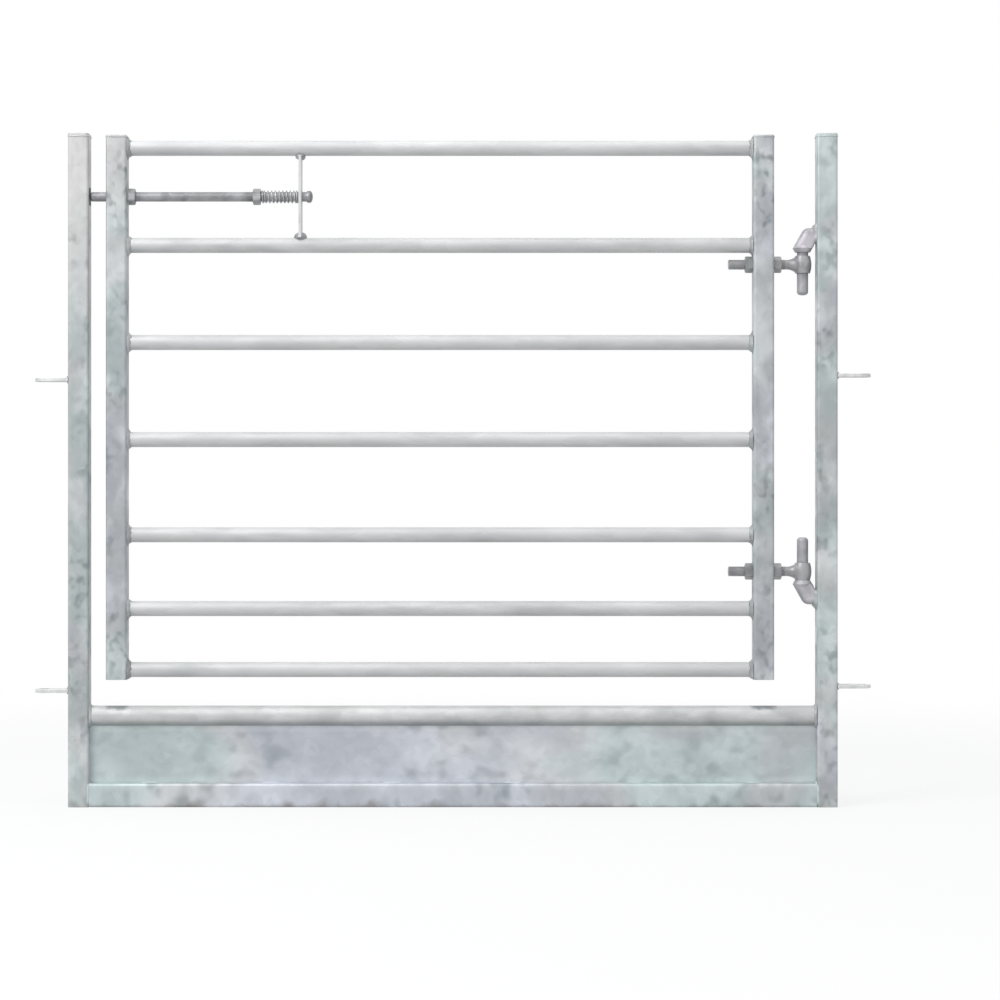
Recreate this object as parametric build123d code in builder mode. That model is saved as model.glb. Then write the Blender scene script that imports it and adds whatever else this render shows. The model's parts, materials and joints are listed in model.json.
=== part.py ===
"""Sheep gate hung in a galvanised U-frame: box posts, tube rails, pin hinges and a sprung bolt.

Millimetres. +X runs along the gate from the latch post to the hanging post, -Y faces the viewer,
+Z is up. The origin is on the ground, midway between the posts and in their middle plane.
"""

import math
import os

from build123d import *

# Frame
opening_width = 1220.0
post_box = 35.0
post_wall = 3.0
post_rise = 3.0
post_cap_thickness = 5.0
bottom_rail_height = 40.0
bottom_rail_wall = 3.0
kick_plate_thickness = 3.0
sill_tube_diameter = 33.7
sill_tube_wall = 3.2
sill_axis_height = 152.5

# Lugs that pin the frame to its neighbours
lug_reach = 57.0
lug_width = 32.0
lug_thickness = 6.0
lug_hole_diameter = 18.0
lug_edge_radius = 1.0
upper_lug_height = 724.0
lower_lug_height = 202.0
lug_stagger = 7.5

# Gate
gate_height = 913.5
gate_clearance = 44.0
latch_gap = 28.5
hinge_gap = 71.5
stile_box = 35.0
stile_wall = 3.0
stile_cap_thickness = 3.0
rail_diameter = 25.4
rail_wall = 2.6
top_rail_drop = 21.0
bottom_rail_rise = 16.5
seventh_rail_pitch = 102.5
sixth_rail_pitch = 124.0
fifth_rail_pitch = 160.0

# Hinges
pin_diameter = 19.0
pin_clearance = 0.5
pin_length = 72.0
pin_end_radius = 6.0
hinge_axis_offset = 22.6
upper_eye_drop = 32.5
lower_eye_drop = 61.5
eye_height = 29.0
eye_diameter = 30.0
eye_end_diameter = 25.0
eye_neck_diameter = 27.0
eye_neck_reach = 27.0
eye_neck_length = 15.0
eye_bolt_diameter = 16.0
eye_bolt_tail = 41.0
seat_gap = 0.3
upper_pin_play = 6.3
shoulder_diameter = 33.0
shoulder_end_diameter = 26.0
shoulder_rise = 6.5
shoulder_under = 5.0
arm_height = 34.0
arm_depth = 27.0
arm_gap_height = 14.0
arm_foot_width = 20.0
arm_edge_radius = 11.0
arm_heel_radius = 5.0
arm_end_radius = 13.0

# Fasteners
nut_flats = 24.0
nut_thickness = 13.0
thread_clearance = 0.1

# Latch
bolt_diameter = 16.0
bolt_clearance = 0.5
bolt_tip_chamfer = 3.0
bolt_rest_gap = 0.5
bolt_engage_travel = 8.0
keep_slot_width = 22.0
keep_slot_height = 30.0
keep_slot_corner = 1.5
strap_reach = 287.7
strap_width = 30.0
strap_thickness = 5.0
strap_edge_radius = 1.0
knob_diameter = 20.0
knob_length = 10.0
knob_socket_depth = 6.0
knob_neck_diameter = 18.5
spring_length = 64.0
spring_wire = 2.5
spring_mean_diameter = 19.4
spring_turns = 11
spring_end_gap = 0.6

# Ratios that belong to the making of the sections
corner_to_wall = 1.5
nut_chamfer_angle = 30.0
cap_chamfer = 1.0

# Places worked out from the sizes above
post_face = opening_width / 2
post_axis = post_face + post_box / 2
sill_top = sill_axis_height + sill_tube_diameter / 2
gate_bottom = sill_top + gate_clearance
gate_top = gate_bottom + gate_height
post_height = gate_top + post_rise
post_tube_height = post_height - post_cap_thickness
gate_left = -post_face + latch_gap
gate_right = post_face - hinge_gap
latch_stile_axis = gate_left + stile_box / 2
latch_stile_inner = gate_left + stile_box
hinge_stile_axis = gate_right - stile_box / 2
hinge_stile_inner = gate_right - stile_box
rail_length = hinge_stile_inner - latch_stile_inner

# Rails count from the top: three even gaps, then closer ones towards the ground where lambs push
rail_7_height = gate_bottom + bottom_rail_rise
rail_6_height = rail_7_height + seventh_rail_pitch
rail_5_height = rail_6_height + sixth_rail_pitch
rail_4_height = rail_5_height + fifth_rail_pitch
rail_1_height = gate_top - top_rail_drop
upper_rail_pitch = (rail_1_height - rail_4_height) / 3
rail_heights = [rail_1_height - n * upper_rail_pitch for n in range(4)]
rail_heights += [rail_5_height, rail_6_height, rail_7_height]

hinge_x = post_face - hinge_axis_offset
hinge_axis = Axis((hinge_x, 0, 0), (0, 0, 1))
upper_eye_height = rail_heights[1] - upper_eye_drop
lower_eye_height = rail_5_height - lower_eye_drop
eye_bore_radius = pin_diameter / 2 + pin_clearance
eye_hole_radius = eye_bolt_diameter / 2 + bolt_clearance

latch_height = (rail_heights[0] + rail_heights[1]) / 2
bolt_hole_radius = bolt_diameter / 2 + bolt_clearance
bolt_tip_x = -post_face + bolt_rest_gap
strap_face = latch_stile_inner + strap_reach
strap_back = strap_face + strap_thickness
spring_nut_face = strap_face - spring_length
knob_face = strap_back + bolt_engage_travel + seat_gap

os.makedirs("parts", exist_ok=True)


def keep(builder, name):
    """Label a finished sub-part and write it to its own file."""
    builder.part.label = name
    export_step(builder.part, f"parts/{name}.step")


def box_section(width, depth, wall):
    """Cold-formed hollow section: the corner radius follows the wall."""
    corner = corner_to_wall * wall
    RectangleRounded(width, depth, corner)
    RectangleRounded(width - 2 * wall, depth - 2 * wall, corner - wall, mode=Mode.SUBTRACT)


# Latch post, with a punched slot in its inner face that keeps the bolt
with BuildPart() as latch_post:
    with BuildSketch():
        with Locations((-post_axis, 0)):
            box_section(post_box, post_box, post_wall)
    extrude(amount=post_tube_height)
    with BuildSketch(Plane.YZ.offset(-post_face)):
        with Locations((0, latch_height)):
            RectangleRounded(keep_slot_width, keep_slot_height, keep_slot_corner)
    extrude(amount=-post_wall, mode=Mode.SUBTRACT)
keep(latch_post, "latch_post")

# Hanging post
with BuildPart() as hanging_post:
    with BuildSketch():
        with Locations((post_axis, 0)):
            box_section(post_box, post_box, post_wall)
    extrude(amount=post_tube_height)
keep(hanging_post, "hanging_post")

# Plates that close the tops of the posts and stiles
post_cap_corner = corner_to_wall * post_wall
stile_cap_corner = corner_to_wall * stile_wall
cap_places = [
    ("latch_post_cap", -post_axis, post_height, post_box, post_cap_corner, post_cap_thickness),
    ("hanging_post_cap", post_axis, post_height, post_box, post_cap_corner, post_cap_thickness),
    ("latch_stile_cap", latch_stile_axis, gate_top, stile_box, stile_cap_corner, stile_cap_thickness),
    ("hinge_stile_cap", hinge_stile_axis, gate_top, stile_box, stile_cap_corner, stile_cap_thickness),
]
for cap_name, cap_x, cap_top, box, corner, thickness in cap_places:
    with BuildPart() as cap:
        with BuildSketch(Plane.XY.offset(cap_top - thickness)):
            with Locations((cap_x, 0)):
                RectangleRounded(box, box, corner)
        extrude(amount=thickness)
        chamfer(cap.faces().sort_by(Axis.Z)[-1].edges(), length=cap_chamfer)
    keep(cap, cap_name)

# Bottom rail: the box the frame stands on, flush with the posts front and back
with BuildPart() as bottom_rail:
    with BuildSketch(Plane.YZ.offset(-post_face)):
        with Locations((0, bottom_rail_height / 2)):
            box_section(post_box, bottom_rail_height, bottom_rail_wall)
    extrude(amount=opening_width)
keep(bottom_rail, "bottom_rail")

# Kick plate: closes the gap under the sill, in the middle plane of the posts
with BuildPart() as kick_plate:
    with BuildSketch(Plane.XY.offset(bottom_rail_height)):
        Rectangle(opening_width, kick_plate_thickness)
    extrude(amount=sill_top - sill_tube_diameter - bottom_rail_height)
keep(kick_plate, "kick_plate")

# Sill tube: the round tube that sheep step over
with BuildPart() as sill_tube:
    with BuildSketch(Plane.YZ.offset(-post_face)):
        with Locations((0, sill_axis_height)):
            Circle(sill_tube_diameter / 2)
            Circle(sill_tube_diameter / 2 - sill_tube_wall, mode=Mode.SUBTRACT)
    extrude(amount=opening_width)
keep(sill_tube, "sill_tube")

# Pinning lugs: the left pair sits lower, so that two frames overlap lug on lug
lug_places = [
    ("upper_left_lug", -1, upper_lug_height - lug_stagger),
    ("lower_left_lug", -1, lower_lug_height - lug_stagger),
    ("upper_right_lug", 1, upper_lug_height),
    ("lower_right_lug", 1, lower_lug_height),
]
lug_root = post_face + post_box
lug_hole_x = lug_root + lug_reach - lug_width / 2
for lug_name, side, lug_z in lug_places:
    with BuildPart() as lug:
        with BuildSketch(Plane.XY.offset(lug_z - lug_thickness / 2)):
            with Locations((side * (lug_root + lug_hole_x) / 2, 0)):
                Rectangle(lug_hole_x - lug_root, lug_width)
            with Locations((side * lug_hole_x, 0)):
                Circle(lug_width / 2)
                Circle(lug_hole_diameter / 2, mode=Mode.SUBTRACT)
        extrude(amount=lug_thickness)
        flats = lug.faces().filter_by(Axis.Z)
        outline = flats[0].outer_wire().edges() + flats[-1].outer_wire().edges()
        fillet(outline.filter_by(Axis.Y, reverse=True), radius=lug_edge_radius)
    keep(lug, lug_name)

# Gudgeons: a forged arm that leans on the post, a tapered shoulder and the hinge pin.
# The lower pin points up and carries the gate; the upper one points down, so it can't be lifted off.
arm_foot_x = post_face - arm_foot_width
shoulder_left = hinge_x - shoulder_diameter / 2
shoulder_right = hinge_x + shoulder_diameter / 2
gudgeon_places = [
    ("upper_gudgeon", upper_eye_height + eye_height / 2 + upper_pin_play, -1),
    ("lower_gudgeon", lower_eye_height - eye_height / 2 - seat_gap, 1),
]
for gudgeon_name, seat_z, up in gudgeon_places:
    shoulder_z = seat_z - up * shoulder_rise
    foot_z = shoulder_z - up * arm_height
    with BuildPart() as gudgeon:
        with BuildSketch(Plane.XZ) as arm_side:
            with BuildLine():
                Polyline(
                    (shoulder_left, shoulder_z),
                    (shoulder_right, shoulder_z),
                    (post_face, shoulder_z - up * arm_gap_height),
                    (post_face, foot_z),
                    (arm_foot_x, foot_z),
                    close=True,
                )
            make_face()
            arm_end = arm_side.vertices().filter_by(lambda corner: abs(corner.X - arm_foot_x) < seat_gap)
            fillet(arm_end, radius=arm_end_radius)
        extrude(amount=arm_depth / 2, both=True)
        arm_edges = gudgeon.faces().filter_by(Axis.Y).edges()
        heel = arm_edges.filter_by(lambda edge: edge.center().X > shoulder_right)
        fillet(heel.filter_by(Axis.Z, reverse=True), radius=arm_heel_radius)
        arm_edges = gudgeon.faces().filter_by(Axis.Y).edges()
        lean = arm_edges.filter_by(lambda edge: edge.center().X < hinge_x)
        fillet(lean.filter_by(Axis.X, reverse=True), radius=arm_edge_radius)
        with BuildSketch(Plane.XZ):
            with BuildLine():
                Polyline(
                    (hinge_x, seat_z),
                    (hinge_x + shoulder_end_diameter / 2, seat_z),
                    (hinge_x + shoulder_diameter / 2, shoulder_z),
                    (hinge_x + arm_depth / 2, shoulder_z - up * shoulder_under),
                    (hinge_x, shoulder_z - up * shoulder_under),
                    close=True,
                )
            make_face()
        revolve(axis=hinge_axis)
        with BuildSketch(Plane.XY.offset(seat_z)):
            with Locations((hinge_x, 0)):
                Circle(pin_diameter / 2)
        extrude(amount=up * pin_length)
        pin_end = gudgeon.faces().sort_by(Axis.Z)[-1 if up > 0 else 0]
        fillet(pin_end.edges(), radius=pin_end_radius)
    keep(gudgeon, gudgeon_name)

# Latch stile, drilled through for the bolt
with BuildPart() as latch_stile:
    with BuildSketch(Plane.XY.offset(gate_bottom)):
        with Locations((latch_stile_axis, 0)):
            box_section(stile_box, stile_box, stile_wall)
    extrude(amount=gate_height - stile_cap_thickness)
    with BuildSketch(Plane.YZ.offset(gate_left)):
        with Locations((0, latch_height)):
            Circle(bolt_hole_radius)
    extrude(amount=stile_box, mode=Mode.SUBTRACT)
keep(latch_stile, "latch_stile")

# Hinge stile, drilled through for both eye bolts
with BuildPart() as hinge_stile:
    with BuildSketch(Plane.XY.offset(gate_bottom)):
        with Locations((hinge_stile_axis, 0)):
            box_section(stile_box, stile_box, stile_wall)
    extrude(amount=gate_height - stile_cap_thickness)
    with BuildSketch(Plane.YZ.offset(hinge_stile_inner)):
        with Locations((0, upper_eye_height), (0, lower_eye_height)):
            Circle(eye_hole_radius)
    extrude(amount=stile_box, mode=Mode.SUBTRACT)
keep(hinge_stile, "hinge_stile")

# Seven tube rails between the stiles
for number, rail_z in enumerate(rail_heights, start=1):
    with BuildPart() as rail:
        with BuildSketch(Plane.YZ.offset(latch_stile_inner)):
            with Locations((0, rail_z)):
                Circle(rail_diameter / 2)
                Circle(rail_diameter / 2 - rail_wall, mode=Mode.SUBTRACT)
        extrude(amount=rail_length)
    keep(rail, f"rail_{number}")

# Hinge eyes: a barrel-shaped eye forged on a threaded bolt, with a flared neck between them
eye_bolt_end = hinge_stile_inner - eye_bolt_tail
eye_neck_x = hinge_x - eye_neck_reach
for eye_name, eye_z in [("upper_hinge_eye", upper_eye_height), ("lower_hinge_eye", lower_eye_height)]:
    with BuildPart() as hinge_eye:
        with BuildSketch(Plane.YZ.offset(eye_bolt_end)):
            with Locations((0, eye_z)):
                Circle(eye_bolt_diameter / 2)
        extrude(amount=hinge_x - eye_bolt_end)
        chamfer(hinge_eye.faces().sort_by(Axis.X)[0].edges(), length=eye_bolt_diameter / 16)
        with BuildSketch(Plane((hinge_x, 0, eye_z), x_dir=(1, 0, 0), z_dir=(0, -1, 0))):
            with BuildLine():
                eye_side = ThreePointArc(
                    (eye_end_diameter / 2, -eye_height / 2),
                    (eye_diameter / 2, 0),
                    (eye_end_diameter / 2, eye_height / 2),
                )
                Polyline(eye_side @ 1, (0, eye_height / 2), (0, -eye_height / 2), eye_side @ 0)
            make_face()
        revolve(axis=hinge_axis)
        with BuildSketch(Plane((eye_neck_x, 0, eye_z), x_dir=(1, 0, 0), z_dir=(0, -1, 0))):
            with BuildLine():
                flare = TangentArc(
                    (0, eye_bolt_diameter / 2),
                    (eye_neck_length, eye_neck_diameter / 2),
                    tangent=(1, 0),
                )
                neck_top = (eye_neck_reach, eye_neck_diameter / 2)
                Polyline(flare @ 1, neck_top, (eye_neck_reach, 0), (0, 0), flare @ 0)
            make_face()
        revolve(axis=Axis((0, 0, eye_z), (1, 0, 0)))
        with BuildSketch(Plane.XY.offset(eye_z - eye_height / 2)):
            with Locations((hinge_x, 0)):
                Circle(eye_bore_radius)
        extrude(amount=eye_height, mode=Mode.SUBTRACT)
    keep(hinge_eye, eye_name)

# Hexagon nuts: four clamp the hinge eyes to the stile, one welded to the stile guides the latch
# bolt, and one on the latch bolt's thread holds the spring
nut_corner_radius = nut_flats / math.sqrt(3)
nut_chamfer_radial = nut_corner_radius - nut_flats / 2
nut_chamfer_axial = nut_chamfer_radial * math.tan(math.radians(nut_chamfer_angle))
eye_nut_bore = eye_bolt_diameter / 2 + thread_clearance
spring_nut_bore = bolt_diameter / 2 + thread_clearance
nut_places = [
    ("upper_outer_nut", gate_right, upper_eye_height, eye_nut_bore),
    ("upper_inner_nut", hinge_stile_inner - nut_thickness, upper_eye_height, eye_nut_bore),
    ("lower_outer_nut", gate_right, lower_eye_height, eye_nut_bore),
    ("lower_inner_nut", hinge_stile_inner - nut_thickness, lower_eye_height, eye_nut_bore),
    ("latch_guide", latch_stile_inner, latch_height, bolt_hole_radius),
    ("spring_nut", spring_nut_face - nut_thickness, latch_height, spring_nut_bore),
]
for nut_name, nut_x, nut_z, bore_radius in nut_places:
    with BuildPart() as nut:
        with BuildSketch(Plane.YZ.offset(nut_x)):
            with Locations((0, nut_z)):
                RegularPolygon(nut_corner_radius, 6, rotation=30)
                Circle(bore_radius, mode=Mode.SUBTRACT)
        extrude(amount=nut_thickness)
        with BuildSketch(Plane((nut_x, 0, nut_z), x_dir=(1, 0, 0), z_dir=(0, -1, 0))):
            with BuildLine():
                Polyline(
                    (0, 0),
                    (0, nut_flats / 2),
                    (nut_chamfer_axial, nut_corner_radius),
                    (nut_thickness - nut_chamfer_axial, nut_corner_radius),
                    (nut_thickness, nut_flats / 2),
                    (nut_thickness, 0),
                    close=True,
                )
            make_face()
        revolve(axis=Axis((0, 0, nut_z), (1, 0, 0)), mode=Mode.INTERSECT)
    keep(nut, nut_name)

# Latch strap: an upright flat between the two top rails that the spring pushes against
strap_bottom = rail_heights[1] + rail_diameter / 2
strap_top = rail_heights[0] - rail_diameter / 2
with BuildPart() as latch_strap:
    with BuildSketch(Plane.YZ.offset(strap_face)):
        with Locations((0, (strap_bottom + strap_top) / 2)):
            Rectangle(strap_width, strap_top - strap_bottom)
        with Locations((0, latch_height)):
            Circle(bolt_hole_radius, mode=Mode.SUBTRACT)
    extrude(amount=strap_thickness)
    fillet(latch_strap.edges().filter_by(Axis.Z), radius=strap_edge_radius)
keep(latch_strap, "latch_strap")

# Latch bolt, drawn just clear of the latch post
with BuildPart() as latch_bolt:
    with BuildSketch(Plane.YZ.offset(bolt_tip_x)):
        with Locations((0, latch_height)):
            Circle(bolt_diameter / 2)
    extrude(amount=knob_face + knob_socket_depth - bolt_tip_x)
    chamfer(latch_bolt.faces().sort_by(Axis.X)[0].edges(), length=bolt_tip_chamfer)
keep(latch_bolt, "latch_bolt")

# Pull knob: a domed knob screwed on the bolt's end, which stops it against the strap
knob_bulge_x = knob_length - knob_diameter / 4
with BuildPart() as pull_knob:
    with BuildSketch(Plane((knob_face, 0, latch_height), x_dir=(1, 0, 0), z_dir=(0, -1, 0))):
        with BuildLine():
            knob_neck = Line((0, 0), (0, knob_neck_diameter / 2))
            knob_side = Line(knob_neck @ 1, (knob_bulge_x / 2, knob_diameter / 2))
            knob_rim = Line(knob_side @ 1, (knob_bulge_x, knob_diameter / 2))
            knob_dome = EllipticalCenterArc(
                (knob_bulge_x, 0), knob_length - knob_bulge_x, knob_diameter / 2, arc_size=90
            )
            Line(knob_dome @ 0, (0, 0))
        make_face()
    revolve(axis=Axis((0, 0, latch_height), (1, 0, 0)))
    with BuildSketch(Plane.YZ.offset(knob_face)):
        with Locations((0, latch_height)):
            Circle(spring_nut_bore)
    extrude(amount=knob_socket_depth + thread_clearance, mode=Mode.SUBTRACT)
keep(pull_knob, "pull_knob")

# Latch spring: one wire wound round the bolt, its end turns closed up.
# Each quarter turn is two arcs that share a tangent, and the wire's ends run straight.
spring_radius = spring_mean_diameter / 2
spring_end_pitch = spring_wire + spring_end_gap
spring_quarters = 4 * spring_turns
spring_travel = spring_length - spring_wire - 2 * seat_gap


def opening_share(turn):
    """How far the turns have opened: none in the end turns, all in the middle ones."""
    from_end = min(turn, spring_turns - turn)
    rise = min(max(from_end - 0.75, 0.0) / 0.75, 1.0)
    return rise * rise * (3 - 2 * rise)


shares = [opening_share((quarter + 0.5) / 4) for quarter in range(spring_quarters)]
spring_open_pitch = spring_end_pitch + 4 * (spring_travel - spring_end_pitch * spring_turns) / sum(shares)
spring_x = [spring_nut_face + seat_gap + spring_wire / 2]
for share in shares:
    spring_x.append(spring_x[-1] + (spring_end_pitch + share * (spring_open_pitch - spring_end_pitch)) / 4)


def spring_point(quarter):
    """A point on the middle of the wire, counted in quarter turns."""
    angle = math.pi / 2 * quarter
    return Vector(
        spring_x[quarter],
        spring_radius * math.cos(angle),
        latch_height + spring_radius * math.sin(angle),
    )


def spring_direction(quarter):
    """The way the wire runs there: flat at both ends, rising with the pitch between them."""
    angle = math.pi / 2 * quarter
    share = opening_share(quarter / 4)
    pitch = spring_end_pitch + share * (spring_open_pitch - spring_end_pitch)
    if quarter in (0, spring_quarters):
        pitch = 0.0
    rise = pitch / (2 * math.pi)
    return Vector(rise, -spring_radius * math.sin(angle), spring_radius * math.cos(angle)).normalized()


with BuildPart() as latch_spring:
    with BuildLine() as spring_path:
        Line(spring_point(0) - spring_direction(0) * spring_wire, spring_point(0))
        for quarter in range(spring_quarters):
            start = spring_point(quarter)
            end = spring_point(quarter + 1)
            start_way = spring_direction(quarter)
            end_way = spring_direction(quarter + 1)
            chord = end - start
            along = chord.dot(start_way + end_way)
            spread = 2 * (1 - start_way.dot(end_way))
            reach = (math.sqrt(along**2 + spread * chord.dot(chord)) - along) / spread
            middle = (start + end + (start_way - end_way) * reach) / 2
            middle_way = (end - end_way * reach) - (start + start_way * reach)
            TangentArc(start, middle, tangent=start_way)
            TangentArc(middle, end, tangent=middle_way)
        last_way = spring_direction(spring_quarters)
        Line(spring_point(spring_quarters), spring_point(spring_quarters) + last_way * spring_wire)
    with BuildSketch(Plane(spring_path.line @ 0, z_dir=spring_path.line % 0)):
        Circle(spring_wire / 2)
    sweep()
keep(latch_spring, "latch_spring")

# The wire's least gap to itself, measured on points along its middle
points_per_turn = 24
spring_samples = points_per_turn * spring_turns
spring_middle = spring_path.wire()
middle_line = [spring_middle @ (n / spring_samples) for n in range(spring_samples + 1)]
least_distance = min(
    (first - second).length
    for n, first in enumerate(middle_line)
    for second in middle_line[n + points_per_turn // 2 :]
)
wire_length = spring_middle.length
wire_volume = math.pi * spring_wire**2 / 4 * wire_length
print(f"latch_spring: least gap {least_distance - spring_wire:.2f} mm, wire {wire_length:.1f} mm")
print(f"latch_spring: volume over wire volume {latch_spring.part.volume / wire_volume:.4f}")
print(f"height {post_height:.2f}, hinge axis x {hinge_x:.2f}, latch axis z {latch_height:.2f}")
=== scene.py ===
# %% [markdown]
# # A galvanised sheep gate in its frame
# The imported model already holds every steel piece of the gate: posts, tubes, hinges and the sprung
# bolt. What it lacks is what a welder and a zinc bath leave behind. This lesson adds the welds, the
# threads and the working spring, gives each steel its own finish, and lights the gate like a
# catalogue picture.

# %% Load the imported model
import json
import math

import bmesh
import bpy
from mathutils import Matrix, Vector, noise


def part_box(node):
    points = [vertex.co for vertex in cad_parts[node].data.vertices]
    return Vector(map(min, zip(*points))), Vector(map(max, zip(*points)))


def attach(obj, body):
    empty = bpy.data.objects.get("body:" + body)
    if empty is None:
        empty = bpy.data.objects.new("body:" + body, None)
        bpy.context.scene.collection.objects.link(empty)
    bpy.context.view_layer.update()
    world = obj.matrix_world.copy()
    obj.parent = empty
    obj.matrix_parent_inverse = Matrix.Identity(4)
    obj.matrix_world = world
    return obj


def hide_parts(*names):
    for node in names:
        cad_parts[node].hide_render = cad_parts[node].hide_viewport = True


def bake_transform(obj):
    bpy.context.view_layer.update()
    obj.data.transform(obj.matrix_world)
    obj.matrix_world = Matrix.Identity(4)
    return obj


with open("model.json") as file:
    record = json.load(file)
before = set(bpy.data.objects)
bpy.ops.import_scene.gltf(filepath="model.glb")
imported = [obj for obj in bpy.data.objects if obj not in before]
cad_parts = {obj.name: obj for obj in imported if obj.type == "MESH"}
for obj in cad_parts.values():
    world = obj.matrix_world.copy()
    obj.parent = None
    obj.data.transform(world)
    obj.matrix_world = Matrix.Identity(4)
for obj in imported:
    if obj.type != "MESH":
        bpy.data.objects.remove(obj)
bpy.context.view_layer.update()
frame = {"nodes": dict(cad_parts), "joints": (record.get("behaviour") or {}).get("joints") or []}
nodes = frame["nodes"]
MM = 0.001

# %% [markdown]
# ## The camera
# The photograph was taken square on, from a good way off, with the lens at about the middle of the
# gate's height: both posts show a sliver of their inner side, the sill shows its top and the caps
# show nothing of theirs. A long lens 4.6 m away gives those slivers their width. A camera that is
# only moved, and never tilted or shifted, keeps the posts upright.

# %% Camera
sensor_width = 36.0
focal_length = 98.9
camera_place = (0.079, -4.6175, 0.5148)
camera_data = bpy.data.cameras.new("gate_camera")
camera_data.sensor_width = sensor_width
camera_data.lens = focal_length
camera = bpy.data.objects.new("gate_camera", camera_data)
camera.location = camera_place
camera.rotation_euler = (math.radians(90), 0, 0)
bpy.context.scene.collection.objects.link(camera)
bpy.context.scene.camera = camera
print("camera at", camera_place)

# %% [markdown]
# ## Sizes read from the model
# Every added piece is set against the solid that carries it, so its place comes from the boxes of
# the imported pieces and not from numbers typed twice. A box gives the lowest and the highest corner.


# %% Places of the steel pieces
def middle(box):
    """The middle of a box."""
    return (box[0] + box[1]) / 2


def half_size(box):
    """From the middle of a box to its faces."""
    return (box[1] - box[0]) / 2


rail_count = 7
rails = [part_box(f"rail_{n}") for n in range(1, rail_count + 1)]
rail_radius = half_size(rails[0]).z
latch_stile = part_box("latch_stile")
hinge_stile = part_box("hinge_stile")
latch_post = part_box("latch_post")
hanging_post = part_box("hanging_post")
post_half = half_size(latch_post).y
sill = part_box("sill_tube")
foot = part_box("bottom_rail")
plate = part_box("kick_plate")
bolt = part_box("latch_bolt")
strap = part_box("latch_strap")
latch_axis_z = middle(bolt).z
print("rail radius", round(rail_radius, 4), "latch axis", round(latch_axis_z, 4))

# %% [markdown]
# ## A finish that many pieces share
# Hot-dip galvanising leaves a skin of zinc crystals. Close to, it is a patchwork of pale cells, the
# spangle. From a step back, it is clouds of greenish and violet grey with darker stains where the
# zinc ran thin. It could be a picture wrapped round the steel, but noise textures need no unwrapping
# and have the same size on every piece. All the steel went through the same bath, so this is one
# node group, and each material sets how strong the clouds, stains and crystals are on its own steel.
# The group puts out a colour, a roughness and a height, and each material keeps its own shader.


# %% Node helpers
def rgba(red, green, blue):
    """A colour with full alpha."""
    return (red, green, blue, 1.0)


class Wiring:
    """Places nodes in a tree and links them, one short line each."""

    def __init__(self, tree):
        self.tree = tree

    def node(self, kind, **settings):
        """A new node with some of its settings given."""
        made = self.tree.nodes.new(kind)
        for name, value in settings.items():
            setattr(made, name, value)
        return made

    def link(self, source, target):
        """A wire from an output to an input."""
        self.tree.links.new(source, target)

    def feed(self, target, value):
        """Link a socket, or write a plain value on it."""
        if isinstance(value, bpy.types.NodeSocket):
            self.link(value, target)
        else:
            target.default_value = value

    def math(self, operation, first, second=0.0, clamp=False):
        """One step of arithmetic."""
        made = self.node("ShaderNodeMath", operation=operation, use_clamp=clamp)
        self.feed(made.inputs[0], first)
        self.feed(made.inputs[1], second)
        return made.outputs[0]

    def plus(self, first, second):
        """A sum."""
        return self.math("ADD", first, second)

    def minus(self, first, second):
        """A difference."""
        return self.math("SUBTRACT", first, second)

    def times(self, first, second):
        """A product."""
        return self.math("MULTIPLY", first, second)

    def gap(self, value, place):
        """How far a coordinate is from a place on its axis."""
        return self.math("ABSOLUTE", self.minus(value, place))

    def place(self):
        """Where a point lies on its object, in metres."""
        return self.node("ShaderNodeTexCoord").outputs["Object"]

    def shift(self, vector, offset):
        """Another part of a pattern, so that two noises don't lie on each other."""
        made = self.node("ShaderNodeVectorMath", operation="ADD")
        self.feed(made.inputs[0], vector)
        made.inputs[1].default_value = offset
        return made.outputs[0]

    def noise(self, vector, scale, detail=3.0, roughness=0.55, distortion=0.0):
        """Clouds between 0 and 1."""
        made = self.node("ShaderNodeTexNoise")
        self.feed(made.inputs["Vector"], vector)
        self.feed(made.inputs["Scale"], scale)
        made.inputs["Detail"].default_value = detail
        made.inputs["Roughness"].default_value = roughness
        made.inputs["Distortion"].default_value = distortion
        return made.outputs["Fac"]

    def ramp(self, value, low, high):
        """A smooth rise from 0 at low to 1 at high; low may be the larger of the two."""
        made = self.node("ShaderNodeMapRange", interpolation_type="SMOOTHSTEP")
        self.feed(made.inputs["Value"], value)
        made.inputs["From Min"].default_value = low
        made.inputs["From Max"].default_value = high
        return made.outputs["Result"]

    def mix(self, share, first, second, blend="MIX"):
        """A share of a second colour mixed into a first, or multiplied onto it."""
        made = self.node("ShaderNodeMix", data_type="RGBA", blend_type=blend)
        self.feed(made.inputs["Factor"], share)
        self.feed(made.inputs["A"], first)
        self.feed(made.inputs["B"], second)
        return made.outputs["Result"]


# %% Clouds and tints
thin_coat_grey = rgba(0.56, 0.555, 0.55)
thin_coat_most = 0.8
# The pale grey of painted light, mixed in along the seams at the ledge and beneath the sill.
painted_light_grey = rgba(0.74, 0.75, 0.75)


def clouded_grey(w, given):
    """Clouds between two greys, evened out where the coat is thin, with painted light mixed in where a
    material asks for it.
    """
    clouds = w.noise(given["Vector"], given["Cloud Scale"], roughness=0.5, distortion=0.2)
    grey = w.mix(w.ramp(clouds, 0.36, 0.64), given["Deep"], given["Pale"])
    grey = w.mix(w.times(given["Thin Coat"], thin_coat_most), grey, thin_coat_grey)
    return w.mix(given["Painted Light"], grey, painted_light_grey)


def tinted(w, given, colour):
    """Greenish and violet patches, which fade where the coat is thin."""
    place = w.shift(given["Vector"], (7.3, 1.1, 4.7))
    hue = w.noise(place, given["Hue Scale"], detail=2.0, distortion=0.2)
    hue = w.plus(hue, given["Hue Lean"])
    tint = w.times(w.minus(1.0, given["Thin Coat"]), given["Tint"])
    green = w.times(w.ramp(hue, 0.47, 0.57), tint)
    violet = w.times(w.ramp(hue, 0.47, 0.39), tint)
    colour = w.mix(green, colour, given["Green"], "MULTIPLY")
    return w.mix(violet, colour, given["Violet"], "MULTIPLY")


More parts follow.
